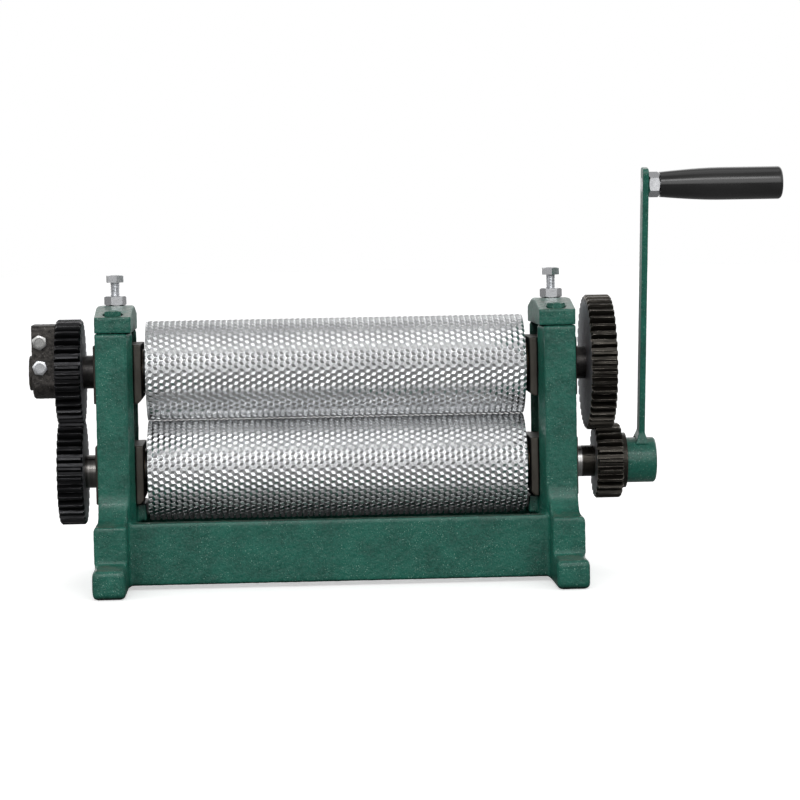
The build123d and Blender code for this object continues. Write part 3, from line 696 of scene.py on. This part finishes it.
def hub_bolts():
    """The phase hub's two bolts and its clamp bolt."""
    flats, head, shank = 11.0 * MM, 5.0 * MM, 7.0 * MM
    for node, name, turn, material in (
        ("phase_bolts", "hub_bolt_pair", 6.0, DULL_ZINC),
        ("phase_clamp_bolt", "hub_clamp_bolt", 20.0, ZINC),
    ):
        low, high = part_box(node)
        x, z = (low.x + high.x) / 2, (low.z + high.z) / 2
        shapes = []
        for sign in (-1, 1) if node == "phase_bolts" else (-1,):
            face = low.y if sign < 0 else high.y
            seat = (x, face - sign * head, z)
            shapes.append(hexagon(seat, (0, sign, 0), flats, head, turn, dish=0.4 * MM))
            reach = abs(seat[1]) - 0.5 * MM if node == "phase_bolts" else high.y - seat[1]
            shapes.append(lathe(seat, (0, -sign, 0), [(0, shank / 2), (reach, shank / 2)], 32))
        piece = new_piece(name, mesh_of(name, *merged(*shapes)), node, material)
        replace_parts(piece, node)


# ------------------------------------------------------------------ gears and rings
def gears():
    """The gears, and the collars, washers, bushes, rings, keys and pins on the shafts."""
    for node, material in GEAR_FINISH.items():
        carried(node, f"{node}_cut", material)
    for node, material in (
        ("upper_collar_left", BLACK), ("upper_collar_right", BLACK),
        ("lower_collar_left", DARK_STEEL), ("upper_thrust_washers", BLACK),
        ("lower_thrust_washers", BLACK), ("upper_bush_left", BRONZE),
        ("upper_bush_right", BRONZE), ("lower_bush_left", BRONZE),
        ("lower_bush_right", BRONZE), ("upper_retaining_ring", BLACK),
        ("lower_retaining_ring", BLACK), ("drive_gear_key", STEEL),
        ("timing_gear_key", STEEL), ("phase_pin", STEEL), ("drive_dowels", STEEL),
        ("crank_end_washer", ZINC),
    ):
        carried(node, f"{node}_finished", material)


def springs():
    """Lift springs, coiled to fill the boxes of the CAD springs."""
    wire, turns, around, steps = 2.4 * MM, 5.0, 12, 200
    for side in SIDES:
        low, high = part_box(f"lift_spring_{side}")
        centre = (low + high) / 2
        mean = (high.x - low.x) / 2 - wire / 2
        rise = high.z - low.z - wire
        points = []
        for step in range(steps + 1):
            share = step / steps
            angle = 2 * math.pi * turns * share
            spine = Vector((centre.x + mean * math.cos(angle), centre.y + mean * math.sin(angle),
                            low.z + wire / 2 + rise * share))
            out = Vector((math.cos(angle), math.sin(angle), 0))
            for k in range(around):
                bend = 2 * math.pi * k / around
                points.append(spine + out * (wire / 2 * math.cos(bend))
                              + Vector((0, 0, wire / 2 * math.sin(bend))))
        faces = [
            (s * around + k, s * around + (k + 1) % around,
             (s + 1) * around + (k + 1) % around, (s + 1) * around + k)
            for s in range(steps) for k in range(around)
        ]
        faces.append(tuple(reversed(range(around))))
        faces.append(tuple(steps * around + k for k in range(around)))
        name = f"coil_spring_{side}"
        mesh = mesh_of(name, points, faces)
        piece = bpy.data.objects.new(name, mesh)
        bpy.context.scene.collection.objects.link(piece)
        mesh.materials.append(SPRING)
        mesh.polygons.foreach_set("use_smooth", [True] * len(mesh.polygons))
        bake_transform(piece)
        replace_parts(piece, f"lift_spring_{side}")


# ------------------------------------------------------------------ crank and handle
def crank():
    """The end screw, the handle's nut and spindle, and the grip."""
    low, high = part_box("crank_end_screw")
    head, shank = 3.2 * MM, 8.0 * MM
    flats = high.z - low.z
    seat = (high.x - head, 0, LOWER_AXIS_Z)
    shapes = merged(
        hexagon(seat, (1, 0, 0), flats, head, 12.0, dish=0.4 * MM),
        lathe(seat, (-1, 0, 0), [(0, shank / 2), (high.x - head - low.x, shank / 2)], 32),
    )
    piece = new_piece("hub_end_screw", mesh_of("hub_end_screw", *shapes), "crank_end_screw", ZINC)
    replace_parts(piece, "crank_end_screw")

    low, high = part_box("handle_nut")
    at = middle("handle_nut")
    shape = hexagon((low.x, at.y, at.z), (1, 0, 0), high.z - low.z, high.x - low.x, 0.0,
                    bore=6.0 * MM, both_ends=True)
    piece = new_piece("grip_nut", mesh_of("grip_nut", *shape), "handle_nut", ZINC)
    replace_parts(piece, "handle_nut")
    carried("handle_spindle", "grip_spindle", ZINC)
    carried("grip", "bakelite_grip", BAKELITE)


# ---------------------------------------------------------------- camera and studio
def camera():
    """The camera, fitted to the photograph: its place, then its turn, pitch and roll."""
    place = Vector((-0.049402, -2.222410, 0.294834))
    turn, pitch, roll = 0.0462117, 0.0661266, 0.0175661
    level = Vector((math.sin(turn), math.cos(turn), 0))
    across = Vector((math.cos(turn), -math.sin(turn), 0))
    up = Vector((0, 0, 1))
    ahead = level * math.cos(pitch) - up * math.sin(pitch)
    raised = up * math.cos(pitch) + level * math.sin(pitch)
    right = across * math.cos(roll) - raised * math.sin(roll)
    top = raised * math.cos(roll) + across * math.sin(roll)
    lens = bpy.data.cameras.new("photo_view")
    lens.sensor_width = 36.0
    lens.lens = 120.573
    lens.clip_start, lens.clip_end = 0.05, 60.0
    view = bpy.data.objects.new("photo_view", lens)
    view.matrix_world = Matrix((
        (right.x, top.x, -ahead.x, place.x),
        (right.y, top.y, -ahead.y, place.y),
        (right.z, top.z, -ahead.z, place.z),
        (0, 0, 0, 1),
    ))
    bpy.context.scene.collection.objects.link(view)
    bpy.context.scene.camera = view


def lamp(name, place, aim, size, power, tall=None):
    """A soft lamp aimed at a point; power in watts, tall where it isn't square."""
    light = bpy.data.lights.new(name, "AREA")
    light.shape = "RECTANGLE"
    light.size, light.size_y = size, tall or size
    light.energy = power
    lit = bpy.data.objects.new(name, light)
    lit.location = place
    lit.rotation_euler = (Vector(aim) - Vector(place)).to_track_quat("-Z", "Y").to_euler()
    bpy.context.scene.collection.objects.link(lit)


def studio():
    """The floor, the room and the soft lamps.

    The camera sees the floor and the room white. What they throw on the object is
    greyer: the room is brightest in front, a little above the horizon.
    """
    reach = 14
    corners = [(-reach, -reach, 0), (reach, -reach, 0), (reach, reach, 0), (-reach, reach, 0)]
    floor_mesh = mesh_of("floor", corners, [(0, 1, 2, 3)])
    floor = bpy.data.objects.new("floor", floor_mesh)
    bpy.context.scene.collection.objects.link(floor)
    seen_tone, bounced_tone, glow = (0.95, 0.95, 0.95), (0.24, 0.24, 0.24), 0.48
    pale = Finish("pale_floor", seen_tone, Roughness=0.9)
    direct = pale.node("LightPath").outputs["Is Camera Ray"]
    pale.colour(pale.mix(direct, bounced_tone, seen_tone))
    pale.shader.inputs["Emission Color"].default_value = (1.0, 1.0, 1.0, 1.0)
    pale.set("Emission Strength", pale.product(direct, glow))
    floor_mesh.materials.append(pale.material)

    world = bpy.data.worlds.new("studio")
    bpy.context.scene.world = world
    world.use_nodes = True
    nodes, links = world.node_tree.nodes, world.node_tree.links
    background = nodes["Background"]
    background.inputs["Color"].default_value = (1.0, 1.0, 1.0, 1.0)
    place = nodes.new("ShaderNodeTexCoord")
    split = nodes.new("ShaderNodeSeparateXYZ")
    links.new(place.outputs["Generated"], split.inputs[0])
    # to all but the camera, the room is a product of ramps along its own fixed axes
    bands = []
    for axis, start, end, low, high in (
        ("Z", -0.08, 0.14, 0.4, 1.55), ("Z", 0.5, 0.8, 1.0, 0.26), ("Y", 0.3, 0.9, 1.0, 0.75),
        ("X", 0.4, 0.9, 1.0, 0.5), ("X", -0.4, -0.9, 1.0, 0.4),
    ):
        band = nodes.new("ShaderNodeMapRange")
        links.new(split.outputs[axis], band.inputs["Value"])
        for socket, value in zip(("From Min", "From Max", "To Min", "To Max"),
                                 (start, end, low, high)):
            band.inputs[socket].default_value = value
        bands.append(band.outputs[0])
    total = bands[0]
    for band in bands[1:]:
        step = nodes.new("ShaderNodeMath")
        step.operation = "MULTIPLY"
        links.new(total, step.inputs[0])
        links.new(band, step.inputs[1])
        total = step.outputs[0]
    seen = nodes.new("ShaderNodeLightPath")
    pick = nodes.new("ShaderNodeMix")
    links.new(seen.outputs["Is Camera Ray"], pick.inputs[0])
    links.new(total, pick.inputs[2])
    pick.inputs[3].default_value = 1.0
    links.new(pick.outputs[0], background.inputs["Strength"])

    lamp("key", (0.2, -1.75, 1.5), (0, 0, 0.14), 1.4, 4, 0.42)
    lamp("glint", (-0.25, -1.9, 1.15), (0, 0, 0.14), 0.7, 2.5, 0.1)
    lamp("left", (-1.7, -1.1, 0.9), (0, 0, 0.12), 0.9, 1.5)
    lamp("top", (0.1, 0.2, 1.9), (0, 0, 0.1), 1.6, 1.5, 0.9)
    bpy.context.scene.view_settings.view_transform = "Standard"


camera()
castings()
rolls()
screws()
hub_bolts()
gears()
springs()
crank()
studio()
